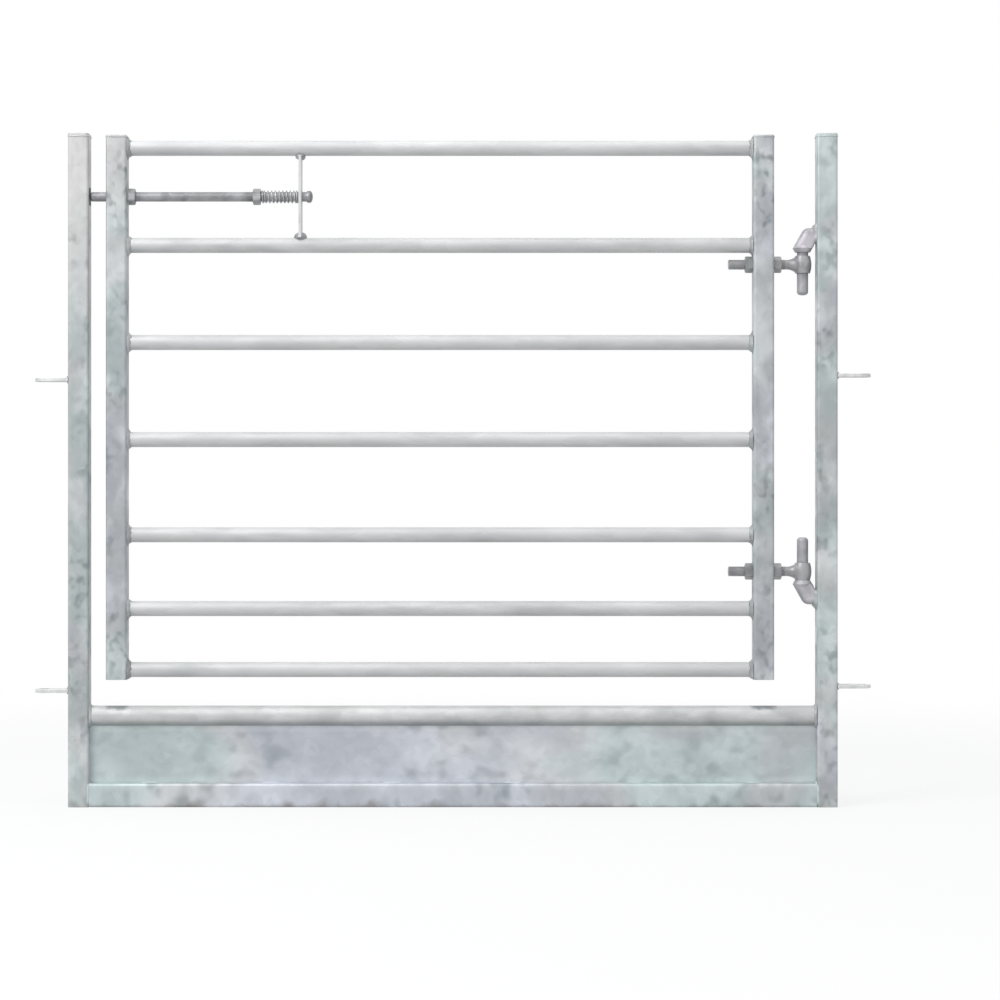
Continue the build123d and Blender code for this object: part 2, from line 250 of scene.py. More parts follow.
# %% Stains, crystals and soil
stain_shade = rgba(0.45, 0.49, 0.50)
# The colour that darkens a piece where it is dirty and where shade is painted on it.
grime_and_painted_shade = rgba(0.42, 0.45, 0.46)
flock_share = 0.16
crystals_a_metre = 95.0
splashes_a_metre = 34.0
splash_height = 0.05


def stained(w, given, colour):
    """Dark spots that keep together in flocks, and the darkening that a material asks for, which is
    dirt in some places and painted shade in others.
    """
    place = given["Vector"]
    size = given["Stain Scale"]
    spots = w.noise(w.shift(place, (2.9, 8.3, 0.4)), size, detail=1.0, distortion=0.1)
    flock = w.noise(w.shift(place, (6.1, 3.4, 1.9)), w.times(size, flock_share), detail=1.0)
    blotch = w.times(w.ramp(spots, 0.46, 0.72), w.ramp(flock, 0.42, 0.62))
    colour = w.mix(w.times(blotch, given["Stain"]), colour, stain_shade, "MULTIPLY")
    return w.mix(given["Grime And Painted Shade"], colour, grime_and_painted_shade, "MULTIPLY")


def crystal_pattern(w, given):
    """A value for each crystal, a little above or below nothing."""
    cells = w.node("ShaderNodeTexVoronoi", feature="F1")
    w.link(given["Vector"], cells.inputs["Vector"])
    cells.inputs["Scale"].default_value = crystals_a_metre
    one_cell = w.node("ShaderNodeSeparateColor")
    w.link(cells.outputs["Color"], one_cell.inputs[0])
    return w.times(w.minus(one_cell.outputs[0], 0.5), given["Crystal"])


def brightened(w, colour, crystal):
    """A colour with the crystals' brightness on it."""
    made = w.node("ShaderNodeVectorMath", operation="SCALE")
    w.link(colour, made.inputs[0])
    w.link(w.plus(w.times(crystal, 2.0), 1.0), made.inputs["Scale"])
    return made.outputs[0]


def soil_share(w, given):
    """Splashed soil with a ragged upper edge, close to the ground."""
    splash = w.noise(w.shift(given["Vector"], (4.4, 0.6, 6.2)), splashes_a_metre)
    reach = w.plus(given["Rise"], w.times(w.minus(0.5, splash), splash_height))
    return w.times(w.ramp(reach, 10 * MM, -8 * MM), given["Soil"])


# %% Roughness and relief
soil_brown = rgba(0.20, 0.175, 0.155)
soil_roughness = 0.2
dull_share = 2.3
runs_a_metre = 38.0
grit_a_metre = 420.0
runs_height = 0.75
grit_height = 0.25


def uneven_gloss(w, given, crystal, soil):
    """Roughness that wanders between two limits, and rises on soil."""
    size = w.times(given["Cloud Scale"], dull_share)
    dull = w.noise(w.shift(given["Vector"], (0.7, 5.2, 9.1)), size)
    span = w.minus(given["Gloss High"], given["Gloss Low"])
    rough = w.plus(w.times(w.ramp(dull, 0.3, 0.7), span), given["Gloss Low"])
    return w.plus(rough, w.plus(crystal, w.times(soil, soil_roughness)))


def runs_and_grit(w, given):
    """The height of the zinc: wide runs with a fine grit on them."""
    runs = w.noise(given["Vector"], runs_a_metre, detail=2.0)
    grit = w.noise(given["Vector"], grit_a_metre, detail=2.0)
    return w.plus(w.times(runs, runs_height), w.times(grit, grit_height))


# %% Zinc skin node group
skin_colours = {
    "Pale": rgba(0.55, 0.56, 0.56), "Deep": rgba(0.38, 0.40, 0.40),
    "Green": rgba(0.90, 1.0, 0.985), "Violet": rgba(0.965, 0.985, 1.045),
}
# The socket that pales the seams carries painted light; the socket that darkens carries dirt and
# painted shade.
skin_values = {
    "Rise": 1.0, "Tint": 1.0, "Hue Lean": 0.0, "Hue Scale": 9.0, "Thin Coat": 0.0, "Painted Light": 0.0,
    "Cloud Scale": 9.0, "Stain": 0.25, "Stain Scale": 60.0, "Crystal": 0.05, "Grime And Painted Shade": 0.0, "Soil": 0.0,
    "Gloss Low": 0.46, "Gloss High": 0.64,
}


def add_socket(group, name, kind, flow, default=None):
    """One named socket on the outside of a node group."""
    socket = group.interface.new_socket(name=name, socket_type=kind, in_out=flow)
    if default is not None:
        socket.default_value = default


def build_zinc_skin():
    """Galvanised steel, as a colour, a roughness and a height."""
    group = bpy.data.node_groups.new("zinc_skin", "ShaderNodeTree")
    add_socket(group, "Vector", "NodeSocketVector", "INPUT")
    for name, colour in skin_colours.items():
        add_socket(group, name, "NodeSocketColor", "INPUT", colour)
    for name, value in skin_values.items():
        add_socket(group, name, "NodeSocketFloat", "INPUT", value)
    add_socket(group, "Colour", "NodeSocketColor", "OUTPUT")
    add_socket(group, "Roughness", "NodeSocketFloat", "OUTPUT")
    add_socket(group, "Height", "NodeSocketFloat", "OUTPUT")
    w = Wiring(group)
    given = w.node("NodeGroupInput").outputs
    result = w.node("NodeGroupOutput").inputs
    crystal = crystal_pattern(w, given)
    soil = soil_share(w, given)
    zinc = stained(w, given, tinted(w, given, clouded_grey(w, given)))
    zinc = brightened(w, zinc, crystal)
    w.link(w.mix(soil, zinc, soil_brown), result["Colour"])
    w.link(uneven_gloss(w, given, crystal, soil), result["Roughness"])
    w.link(runs_and_grit(w, given), result["Height"])
    print("node group", group.name, "with", len(group.nodes), "nodes")
    return group


zinc_skin = build_zinc_skin()

# %% [markdown]
# ## Places that differ from the rest
# Steel hangs by one upper corner while it is dipped, here the one on the latch side, and the zinc
# that runs away from it leaves a thin, pale coat. Pale, uneven bands of painted light lie at the ledge
# of the bottom rail, as a painted highlight on its corner, and beneath the sill, where they lighten
# the sill's shadow on the plate. Painted shade darkens the underside of the sill, two spots on its top
# that stand for the shadows of the open stiles, the flat top of the ledge, the upper and lower corners
# of the bolt's nut and guide, and the hinge pins. Dirt darkens the middle of the hinge nuts. Masks
# could be painted by hand, but all of these places are known, so each mask is worked out from the
# coordinates.


# %% Masks of zinc
hanging_slant = 0.45
ledge_z = foot[1].z
plate_top_z = plate[1].z
seam_patches_a_metre = 18.0


def band(w, value, place, empty, full, strength):
    """A soft band beside a place on an axis: none at one distance, its strength at another."""
    return w.times(w.ramp(w.gap(value, place), empty, full), strength)


def near_the_hanging_corner(starts, full):
    """A mask that rises towards the upper corner on the latch side."""
    def mask(w, axes):
        reach = w.minus(axes["Z"], w.times(axes["X"], hanging_slant))
        return w.ramp(reach, starts, full)
    return mask


def painted_light_at_seams(w, axes):
    """Painted light: pale, uneven bands at the ledge, a painted highlight on its corner, and beneath
    the sill, lightening the sill's shadow on the plate.
    """
    bands = 0.0
    for height, strength in ((ledge_z, 0.65), (plate_top_z, 0.95)):
        bands = w.plus(bands, band(w, axes["Z"], height, 14 * MM, 3 * MM, strength))
    return w.times(bands, w.noise(w.place(), seam_patches_a_metre, detail=2.0))


# %% Masks of dirt and painted shade
# Strengths of the painted shade beneath the sill, of the stiles' painted shadows on its top and of the
# painted shade on the pins.
underside_painted_shade = 0.55
stile_painted_shadow = 0.9
fray_size = 24 * MM
frays_a_metre = 95.0
pin_painted_shade = 0.36
pin_reach = 10.0 * MM
hinge_axis = next(joint for joint in frame["joints"] if joint["name"] == "gate_swing")["pos_m"]


def painted_shade_on_sill(w, axes):
    """Painted shade on the sill's underside, and a ragged painted shadow spot on its top beneath each
    stile.
    """
    dirt_and_shade = w.times(w.ramp(axes["Z"], middle(sill).z - 3 * MM, sill[0].z + 3 * MM), underside_painted_shade)
    fray = w.times(w.minus(w.noise(w.place(), frays_a_metre, detail=4.0), 0.5), fray_size)
    height = w.plus(axes["Z"], w.times(fray, 0.5))
    top = w.ramp(height, sill[1].z - 8 * MM, sill[1].z - 2 * MM)
    # Beneath each stile, a painted shadow of the stile on the sill's top.
    for stile in (latch_stile, hinge_stile):
        across = w.gap(axes["X"], middle(stile).x)
        painted_shadow_spot = w.times(w.ramp(w.plus(across, fray), 25 * MM, 12 * MM), top)
        dirt_and_shade = w.plus(dirt_and_shade, w.times(painted_shadow_spot, stile_painted_shadow))
    return dirt_and_shade


def painted_shade_on_ledge(w, axes):
    """Painted shade on the flat ledge in front of the plate, dimming the light that its top catches.
    """
    return band(w, axes["Z"], ledge_z, 2 * MM, 0.5 * MM, 0.12)


def on_the_hinge_nuts(w, axes):
    """Dirty in the middle of each nut, rubbed bright by the spanner on its corners."""
    dirt_and_shade = 0.0
    for eye in ("upper_hinge_eye", "lower_hinge_eye"):
        height = middle(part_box(eye)).z
        dirt_and_shade = w.plus(dirt_and_shade, band(w, axes["Z"], height, 11 * MM, 4 * MM, 0.5))
    return dirt_and_shade


def painted_shade_on_latch_rims(w, axes):
    """Painted shade towards the upper and lower corners of the bolt's nut and guide."""
    return band(w, axes["Z"], latch_axis_z, 2.5 * MM, 6 * MM, 0.36)


def painted_shade_on_pins(w, axes):
    """Painted shade within a hinge pin's radius of the hinge axis; the arm keeps its own colour."""
    across = w.minus(axes["X"], hinge_axis[0])
    away = w.math("SQRT", w.plus(w.times(across, across), w.times(axes["Y"], axes["Y"])))
    return w.times(w.ramp(away, pin_reach + 0.5 * MM, pin_reach), pin_painted_shade)


# %% [markdown]
# ## The steels
# Posts and plate show large soft clouds. The rails were drawn from thin tube, so their clouds are
# long and their grey more even. Bolts, nuts and eyes are plated, darker and a little glossier. A
# Mapping node stretches the clouds along each piece, because zinc drains along the steel as it leaves
# the bath, and slides them until they lie well. All of them read Object coordinates, and every object
# sits at the origin, so no cloud breaks at a joint.

# %% Steel material helpers
relief_depth = 0.8 * MM
even = (1.0, 1.0, 1.0)


def zinc_material(name, metal, bump, stretch=even, slide=(0, 0, 0), masks=None, **look):
    """A steel finish: the shared zinc skin with this piece's own strengths and special places."""
    material = bpy.data.materials.new(name)
    material.use_nodes = True
    w = Wiring(material.node_tree)
    shader = material.node_tree.nodes["Principled BSDF"]
    place = w.place()
    mapping = w.node("ShaderNodeMapping")
    mapping.inputs["Scale"].default_value = stretch
    mapping.inputs["Location"].default_value = slide
    w.link(place, mapping.inputs["Vector"])
    skin = w.node("ShaderNodeGroup", node_tree=zinc_skin)
    w.link(mapping.outputs["Vector"], skin.inputs["Vector"])
    axes = w.node("ShaderNodeSeparateXYZ")
    w.link(place, axes.inputs[0])
    w.link(axes.outputs["Z"], skin.inputs["Rise"])
    for socket, mask in (masks or {}).items():
        w.link(mask(w, axes.outputs), skin.inputs[socket])
    for socket, value in look.items():
        skin.inputs[socket.replace("_", " ").title()].default_value = value
    w.link(skin.outputs["Colour"], shader.inputs["Base Color"])
    w.link(skin.outputs["Roughness"], shader.inputs["Roughness"])
    shader.inputs["Metallic"].default_value = metal
    relief = w.node("ShaderNodeBump")
    relief.inputs["Strength"].default_value = bump
    relief.inputs["Distance"].default_value = relief_depth
    w.link(skin.outputs["Height"], relief.inputs["Height"])
    w.link(relief.outputs["Normal"], shader.inputs["Normal"])
    print("finish", name)
    return material


def plated_material(name, pale, deep, masks=None):
    """The finish of bolts and nuts: fine clouds, faint stains and more gloss."""
    return zinc_material(
        name, metal=0.35, bump=0.3, masks=masks, pale=pale, deep=deep, cloud_scale=40.0,
        stain=0.4, stain_scale=100.0, crystal=0.03, tint=0.2, gloss_low=0.32, gloss_high=0.46,
    )


# %% Posts, stiles, plate and foot
post_zinc = zinc_material(
    "post_zinc", metal=0.45, bump=0.25, stretch=(1.0, 1.0, 0.8), slide=(17.461, -8.16, 19.401),
    masks={"Thin Coat": near_the_hanging_corner(0.94, 1.36)},
    pale=rgba(0.625, 0.64, 0.647), deep=rgba(0.42, 0.435, 0.442), cloud_scale=14.0,
    hue_scale=8.5, hue_lean=0.03, tint=0.75, stain=0.7, stain_scale=60.0, crystal=0.06, soil=0.6,
)
stile_zinc = zinc_material(
    "stile_zinc", metal=0.45, bump=0.25, stretch=(1.0, 1.0, 0.8), slide=(-3.533, 4.534, -1.98),
    masks={"Thin Coat": near_the_hanging_corner(1.12, 1.44)},
    pale=rgba(0.58, 0.595, 0.605), deep=rgba(0.385, 0.40, 0.41), cloud_scale=14.0,
    hue_scale=8.5, hue_lean=-0.02, tint=0.65, stain=0.85, stain_scale=60.0, crystal=0.06,
)
# The plate carries painted shade on the ledge and painted light along the seams.
plate_zinc = zinc_material(
    "plate_zinc", metal=0.45, bump=0.25, stretch=(0.75, 1.0, 1.0), slide=(8.548, 18.67, 18.736),
    masks={"Grime And Painted Shade": painted_shade_on_ledge, "Painted Light": painted_light_at_seams},
    pale=rgba(0.635, 0.65, 0.67), deep=rgba(0.495, 0.51, 0.528), cloud_scale=9.0,
    hue_scale=3.0, stain=0.45, stain_scale=34.0, crystal=0.05, soil=0.6,
)
# The foot carries painted shade on the ledge and painted light along the seams, as the plate does.
foot_zinc = zinc_material(
    "foot_zinc", metal=0.45, bump=0.25, stretch=(0.75, 1.0, 0.6), slide=(8.548, 18.67, 18.736),
    masks={"Grime And Painted Shade": painted_shade_on_ledge, "Painted Light": painted_light_at_seams},
    pale=rgba(0.63, 0.645, 0.66), deep=rgba(0.475, 0.49, 0.505), cloud_scale=12.0,
    hue_scale=3.0, hue_lean=-0.06, stain=0.7, stain_scale=40.0, crystal=0.05, soil=0.6,
)

# %% Tubes, welds and flats
rail_zinc = zinc_material(
    "rail_zinc", metal=0.20, bump=0.12, stretch=(0.30, 1.0, 1.0),
    pale=rgba(0.605, 0.605, 0.605), deep=rgba(0.545, 0.545, 0.545), cloud_scale=14.0,
    stain=0.25, stain_scale=40.0, crystal=0.04, tint=0.12,
)
# The sill carries painted shade on its underside and painted shadows of the stiles on its top.
sill_zinc = zinc_material(
    "sill_zinc", metal=0.35, bump=0.15, stretch=(0.6, 1.0, 1.0), masks={"Grime And Painted Shade": painted_shade_on_sill},
    pale=rgba(0.61, 0.61, 0.61), deep=rgba(0.52, 0.52, 0.52), cloud_scale=20.0,
    stain=0.4, stain_scale=30.0, crystal=0.05, tint=0.12,
)
weld_zinc = zinc_material(
    "weld_zinc", metal=0.45, bump=0.6,
    pale=rgba(0.47, 0.48, 0.48), deep=rgba(0.32, 0.33, 0.33), cloud_scale=30.0,
    stain=0.5, stain_scale=80.0, crystal=0.04, tint=0.4,
)
lug_zinc = zinc_material(
    "lug_zinc", metal=0.45, bump=0.3,
    pale=rgba(0.74, 0.74, 0.74), deep=rgba(0.62, 0.62, 0.62), cloud_scale=30.0,
    stain=0.3, stain_scale=80.0, crystal=0.05, tint=0.1,
)
strap_zinc = zinc_material(
    "strap_zinc", metal=0.45, bump=0.25, stretch=(1.0, 1.0, 0.5),
    pale=rgba(0.71, 0.71, 0.71), deep=rgba(0.60, 0.60, 0.60), cloud_scale=30.0,
    stain=0.3, stain_scale=80.0, crystal=0.05, tint=0.1,
)

# %% Hinges, bolts, nuts and spring
# The hinge pins carry painted shade.
forged_zinc = zinc_material(
    "forged_zinc", metal=0.35, bump=0.5, masks={"Grime And Painted Shade": painted_shade_on_pins},
    pale=rgba(0.55, 0.53, 0.56), deep=rgba(0.40, 0.39, 0.41), cloud_scale=34.0,
    stain=0.4, stain_scale=80.0, crystal=0.04, tint=0.2,
)
eye_zinc = plated_material("eye_zinc", rgba(0.40, 0.395, 0.405), rgba(0.29, 0.285, 0.295))
bolt_zinc = plated_material("bolt_zinc", rgba(0.345, 0.345, 0.355), rgba(0.23, 0.23, 0.24))
thread_zinc = plated_material("thread_zinc", rgba(0.29, 0.29, 0.295), rgba(0.20, 0.20, 0.205))
nut_zinc = plated_material(
    "nut_zinc", rgba(0.42, 0.42, 0.425), rgba(0.31, 0.31, 0.315), {"Grime And Painted Shade": on_the_hinge_nuts}
)
# The bolt's nut and guide carry painted shade at their upper and lower corners.
latch_nut_zinc = plated_material(
    "latch_nut_zinc", rgba(0.52, 0.52, 0.525), rgba(0.40, 0.40, 0.405), {"Grime And Painted Shade": painted_shade_on_latch_rims}
)
spring_wire_steel = zinc_material(
    "spring_wire_steel", metal=0.7, bump=0.2,
    pale=rgba(0.52, 0.52, 0.53), deep=rgba(0.38, 0.38, 0.39), cloud_scale=60.0,
    stain=0.35, stain_scale=150.0, crystal=0.02, tint=0.2, gloss_low=0.30, gloss_high=0.42,
)

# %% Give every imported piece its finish
finish_of = {
    "post": post_zinc, "stile": stile_zinc, "lug": lug_zinc, "strap": strap_zinc,
    "bottom": foot_zinc, "kick": plate_zinc, "rail": rail_zinc, "sill": sill_zinc,
    "gudgeon": forged_zinc, "eye": eye_zinc, "outer": nut_zinc, "inner": nut_zinc,
    "nut": latch_nut_zinc, "guide": latch_nut_zinc, "bolt": bolt_zinc, "knob": bolt_zinc,
    "spring": spring_wire_steel,
}
preferred = [
    "bottom", "kick", "sill", "outer", "inner", "nut", "spring", "strap", "guide", "bolt", "eye",
]
for name, piece in nodes.items():
    words = name.split("_")
    key = next((word for word in preferred if word in words), None)
    key = key or next(word for word in words if word in finish_of)
    piece.data.materials.clear()
    piece.data.materials.append(finish_of[key])
print("finishes given to", len(nodes), "pieces")

# %% [markdown]
# ## Welds round the tubes
# Every rail is welded to its stile all the way round, and the sill tube to the posts. Such a fillet
# is a ring with a nearly straight slope from the tube to the flat steel, rippled where each drop of
# metal froze. A torus would be too round for it. A ring is a profile turned round an axis, which is
# what spin does. The ripple is then a small wave in the ring's radius. The stile is hardly wider than
# the rail, so the ring is held inside the stile's face at its front and back, and at the open lower
# end.

# %% Helpers for new pieces
ripples_a_metre = 190.0


def finish_piece(name, shape, material, body):
    """Turn a finished bmesh into an object at the origin that rides on a body."""
    bmesh.ops.remove_doubles(shape, verts=shape.verts, dist=1e-6)
    bmesh.ops.recalc_face_normals(shape, faces=shape.faces)
    mesh = bpy.data.meshes.new(name)
    shape.to_mesh(mesh)
    shape.free()
    mesh.shade_smooth()
    mesh.materials.append(material)
    piece = bpy.data.objects.new(name, mesh)
    bpy.context.scene.collection.objects.link(piece)
    if body:
        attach(piece, body)
    print(name, "has", len(mesh.polygons), "faces")
    return piece


def ripple(point, size):
    """A repeatable unevenness between minus size and size."""
    return noise.noise(point * ripples_a_metre) * size


def added_since(shape, known):
    """The points of a shape that were not there yet when known was noted."""
    return [vert for vert in shape.verts if vert not in known]


def verts_in(items):
    """The points among the things that an operator gives back."""
    return [item for item in items if isinstance(item, bmesh.types.BMVert)]


def closed_loop(shape, points):
    """New points, joined by edges into a closed loop."""
    ring = [shape.verts.new(point) for point in points]
    edges = [shape.edges.new((ring[n], ring[n - 1])) for n in range(len(ring))]
    return ring, edges


# %% Weld ring helper
# The fillet's section, counted in legs: along the tube, and out from its surface.
fillet_section = (
    (0.0, 1.0), (0.16, 0.74), (0.40, 0.42), (0.70, 0.16), (1.0, -0.02), (0.5, -0.3), (-0.05, -0.3),
)
ring_steps = 40


def weld_ring(shape, centre, way, radius, leg, carrier, margin):
    """A fillet weld round a tube that leaves a carrier's face along X; way is +1 or -1."""
    least = carrier[0] + Vector((0, margin, margin))
    most = carrier[1] - Vector((0, margin, margin))
    known = set(shape.verts)
    rim_z = centre.z + radius
    section = [
        (centre.x + way * leg * along, centre.y, rim_z + leg * out) for along, out in fillet_section
    ]
    ring, edges = closed_loop(shape, section)
    bmesh.ops.spin(
        shape, geom=ring + edges, cent=centre, axis=(1, 0, 0), angle=math.tau,
        steps=ring_steps, use_merge=True,
    )
    for vert in added_since(shape, known):
        arm = Vector((0, vert.co.y - centre.y, vert.co.z - centre.z))
        proud = max(arm.length - radius, 0.0)
        grown = arm * (1 + (proud / arm.length) * ripple(vert.co, 0.5))
        vert.co.y = max(least.y, min(most.y, centre.y + grown.y))
        vert.co.z = max(least.z, min(most.z, centre.z + grown.z))
        spread = max(way * (vert.co.x - centre.x), 0.0)
        vert.co.x += way * spread * ripple(vert.co + Vector((0.3, 0, 0)), 0.45)


# %% Rail and sill welds
rail_leg = 6.5 * MM
rail_margin = 1.2 * MM
sill_leg = 5.0 * MM
sill_margin = 0.3 * MM
shape = bmesh.new()
for low, high in rails:
    left = Vector((low.x, 0, (low.z + high.z) / 2))
    right = Vector((high.x, 0, left.z))
    weld_ring(shape, left, 1, rail_radius, rail_leg, latch_stile, rail_margin)
    weld_ring(shape, right, -1, rail_radius, rail_leg, hinge_stile, rail_margin)
finish_piece("rail_welds", shape, weld_zinc, "gate")

sill_radius = half_size(sill).z
shape = bmesh.new()
for end_x, way, post in ((sill[0].x, 1, latch_post), (sill[1].x, -1, hanging_post)):
    end = Vector((end_x, 0, middle(sill).z))
    weld_ring(shape, end, way, sill_radius, sill_leg, post, sill_margin)
finish_piece("sill_welds", shape, weld_zinc, "frame")

# %% [markdown]
# ## Straight welds
# Lugs, the strap and the foot of the frame are held by straight runs of weld. A run is a small round
# bead, half sunk in the corner that it fills. A plain rod would look too smooth. So it starts as a
# circle, which is extruded step by step along the seam, each step a little thicker or thinner, and
# both ends close to a blunt tip.

# %% Weld bead helpers
ripple_step = 3.0 * MM
tip_share = 0.35


def weld_bead(shape, start, end, size):
    """A rippled bead from start to end, closed at both ends."""
    run = end - start
    count = max(int(run.length / ripple_step), 4)
    turn = run.to_track_quat("Z", "Y").to_matrix().to_4x4()
    lie = Matrix.Translation(start) @ turn
    ring = bmesh.ops.create_circle(shape, segments=16, radius=size, matrix=lie)["verts"]
    loops = [ring]
    edges = list({edge for vert in ring for edge in vert.link_edges})
    for _ in range(count):
        made = bmesh.ops.extrude_edge_only(shape, edges=edges)["geom"]
        ring = verts_in(made)
        edges = [item for item in made if isinstance(item, bmesh.types.BMEdge)]
        bmesh.ops.translate(shape, verts=ring, vec=run / count)
        loops.append(ring)
    for n, ring in enumerate(loops):
        place = start + run * (n / count)
        from_the_end = min(n, count - n) / 2.0
        blunt = tip_share + (1.0 - tip_share) * min(from_the_end, 1.0)
        swell = blunt * (1 + ripple(place, 0.28))
        for vert in ring:
            vert.co = place + (vert.co - place) * swell
    for ring in (loops[0], loops[-1]):
        bmesh.ops.contextual_create(shape, geom=ring)


def cross_bead(shape, x, z, reach, size):
    """A bead from front to back."""
    weld_bead(shape, Vector((x, -reach, z)), Vector((x, reach, z)), size)


# %% Lug welds
lug_reach = 13 * MM
lug_bead = 3.6 * MM
shape = bmesh.new()
for lug in ("upper_left_lug", "lower_left_lug", "upper_right_lug", "lower_right_lug"):
    low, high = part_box(lug)
    root_x = low.x if low.x > 0 else high.x
    for z in (low.z, high.z):
        cross_bead(shape, root_x, z, lug_reach, lug_bead)
finish_piece("lug_welds", shape, weld_zinc, "frame")

# %% Strap and guide welds
strap_reach = 11 * MM
strap_top_bead = 5.5 * MM
strap_foot_bead = 7.8 * MM
guide_leg = 3.0 * MM
guide_margin = 1.5 * MM
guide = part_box("latch_guide")
shape = bmesh.new()
for x in (strap[0].x, strap[1].x):
    cross_bead(shape, x, strap[1].z - 1 * MM, strap_reach, strap_top_bead)
guide_end = Vector((guide[0].x, 0, latch_axis_z))
weld_ring(shape, guide_end, 1, half_size(guide).y, guide_leg, latch_stile, guide_margin)
finish_piece("latch_welds", shape, weld_zinc, "gate")

shape = bmesh.new()
for x in (strap[0].x, strap[1].x):
    cross_bead(shape, x, strap[0].z + 0.5 * MM, strap_reach, strap_foot_bead)
finish_piece("strap_foot_weld", shape, bolt_zinc, "gate")

# %% Foot welds
groove_inset = 1.6 * MM
groove_depth = 2.2 * MM
groove_foot = 3 * MM
groove_bead = 2.5 * MM
ledge_bead = 2.6 * MM
ledge_starts = 3 * MM
ledge_ends = 14 * MM
tack_count = 6
tack_half = 16 * MM
tack_bead = 1.7 * MM
shape = bmesh.new()
for x, way in ((foot[0].x, 1), (foot[1].x, -1)):
    for side in (-1, 1):
        groove_x = x - way * groove_inset
        groove_y = side * (post_half - groove_depth)
        low = Vector((groove_x, groove_y, groove_foot))
        high = Vector((groove_x, groove_y, ledge_z - 1 * MM))
        weld_bead(shape, low, high, groove_bead)
        inner = Vector((x, side * ledge_starts, ledge_z))
        outer = Vector((x, side * ledge_ends, ledge_z))
        weld_bead(shape, inner, outer, ledge_bead)
for n in range(tack_count):
    x = plate[0].x + (plate[1].x - plate[0].x) * (n + 0.5) / tack_count
    for y in (plate[0].y, plate[1].y):
        for z in (plate[0].z, plate[1].z):
            weld_bead(shape, Vector((x - tack_half, y, z)), Vector((x + tack_half, y, z)), tack_bead)
finish_piece("foot_welds", shape, plate_zinc, "frame")

# %% [markdown]
# ## Welds that go round a corner
# A hinge arm is welded to its post all the way round its foot, and each cap all the way round its
# seam. Beads laid end to end would leave lumps at the corners. So both start as one flat rectangle
# whose corners are bevelled round, with its long edges divided so that the ripple has points to move.
# Extruded towards the arm and scaled down, it becomes a sloping fillet. Extruded a little and bevelled
# on both rims, it becomes the thin rounded seam of a cap.


# %% Rounded outline helpers
def rounded_face(shape, place, half_wide, half_tall, corner):
    """A flat face with round corners; place sets the plane that it lies in."""
    lie = place @ Matrix.Diagonal((half_wide, half_tall, 1.0, 1.0))
    flat = bmesh.ops.create_grid(shape, x_segments=1, y_segments=1, size=1.0, matrix=lie)
    rounded = bmesh.ops.bevel(
        shape, geom=flat["verts"], offset=corner, offset_type="OFFSET", segments=4,
        profile=0.5, affect="VERTICES", material=-1,
    )["verts"]
    face = rounded[0].link_faces[0]
    for edge in [edge for edge in face.edges if edge.calc_length() > 2 * ripple_step]:
        cuts = int(edge.calc_length() / ripple_step)
        bmesh.ops.subdivide_edges(shape, edges=[edge], cuts=cuts)
    return face


def raise_face(shape, face, keep_first):
    """Extrude a face where it stands; its new face and points are returned."""
    made = bmesh.ops.extrude_face_region(shape, geom=[face])["geom"]
    if not keep_first:
        bmesh.ops.delete(shape, geom=[face], context="FACES_ONLY")
    face = next(item for item in made if isinstance(item, bmesh.types.BMFace))
    return face, verts_in(made)


# %% Hinge arm welds
arm_contact = 20 * MM
arm_leg = 7.5 * MM
arm_margin = 1.0 * MM
arm_corner = 8 * MM
seat_shift = 2.5 * MM
weld_root = 3 * MM
fillet_lean = 0.35
arm_ripple = 1.1 * MM
half_tall = arm_contact / 2 + arm_leg
half_deep = post_half - arm_margin
# Turned towards the gate, the face's own width stands upright and its height runs front to back.
sideways = Matrix.Rotation(math.radians(-90), 4, "Y")
# Each step runs some way towards the arm and shrinks to a share of its size.
fillet_steps = ((weld_root + 1.5 * MM, 0.94), (2.0 * MM, 0.90), (2.5 * MM, 0.93))
shape = bmesh.new()
for arm, up in (("upper_gudgeon", 1), ("lower_gudgeon", -1)):
    low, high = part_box(arm)
    foot_z = high.z if up > 0 else low.z
    seat_z = foot_z - up * (arm_contact / 2 - seat_shift)
    seat = Vector((hanging_post[0].x + weld_root, 0, seat_z))
    known = set(shape.verts)
    face = rounded_face(shape, Matrix.Translation(seat) @ sideways, half_tall, half_deep, arm_corner)
    for n, (run, shrink) in enumerate(fillet_steps):
        face, rim = raise_face(shape, face, keep_first=n == 0)
        bmesh.ops.translate(shape, verts=rim, vec=(-run, 0, -up * run * fillet_lean))
        centred = Matrix.Translation(-face.calc_center_median())
        bmesh.ops.scale(shape, verts=rim, vec=(1, shrink, shrink), space=centred)
    for vert in added_since(shape, known):
        away = Vector((0, vert.co.y, vert.co.z - seat.z))
        vert.co += away.normalized() * ripple(vert.co, arm_ripple)
finish_piece("hinge_arm_welds", shape, weld_zinc, "frame")

# %% Cap welds
cap_proud = 1.1 * MM
cap_corner = 4.5 * MM + cap_proud
cap_ripple = 0.5 * MM


def cap_weld(shape, cap_name):
    """A thin rounded seam all the way round beneath a cap plate."""
    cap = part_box(cap_name)
    half = half_size(cap)
    seat = middle(cap)
    seat.z = cap[0].z - cap_proud
    lie = Matrix.Translation(seat)
    bottom = rounded_face(shape, lie, half.x + cap_proud, half.y + cap_proud, cap_corner)
    top, rim = raise_face(shape, bottom, keep_first=True)
    bmesh.ops.translate(shape, verts=rim, vec=(0, 0, 2 * cap_proud))
    bmesh.ops.bevel(
        shape, geom=list(bottom.edges) + list(top.edges), offset=0.9 * cap_proud,
        offset_type="OFFSET", segments=3, profile=0.5, affect="EDGES", material=-1,
    )


def cap_welds(name, caps, finish, body):
    """The seams of both caps on one body, with a slight ripple."""
    shape = bmesh.new()
    for cap_name in caps:
        cap_weld(shape, cap_name)
    for vert in shape.verts:
        vert.co.z += ripple(vert.co, cap_ripple)
    finish_piece(name, shape, finish, body)


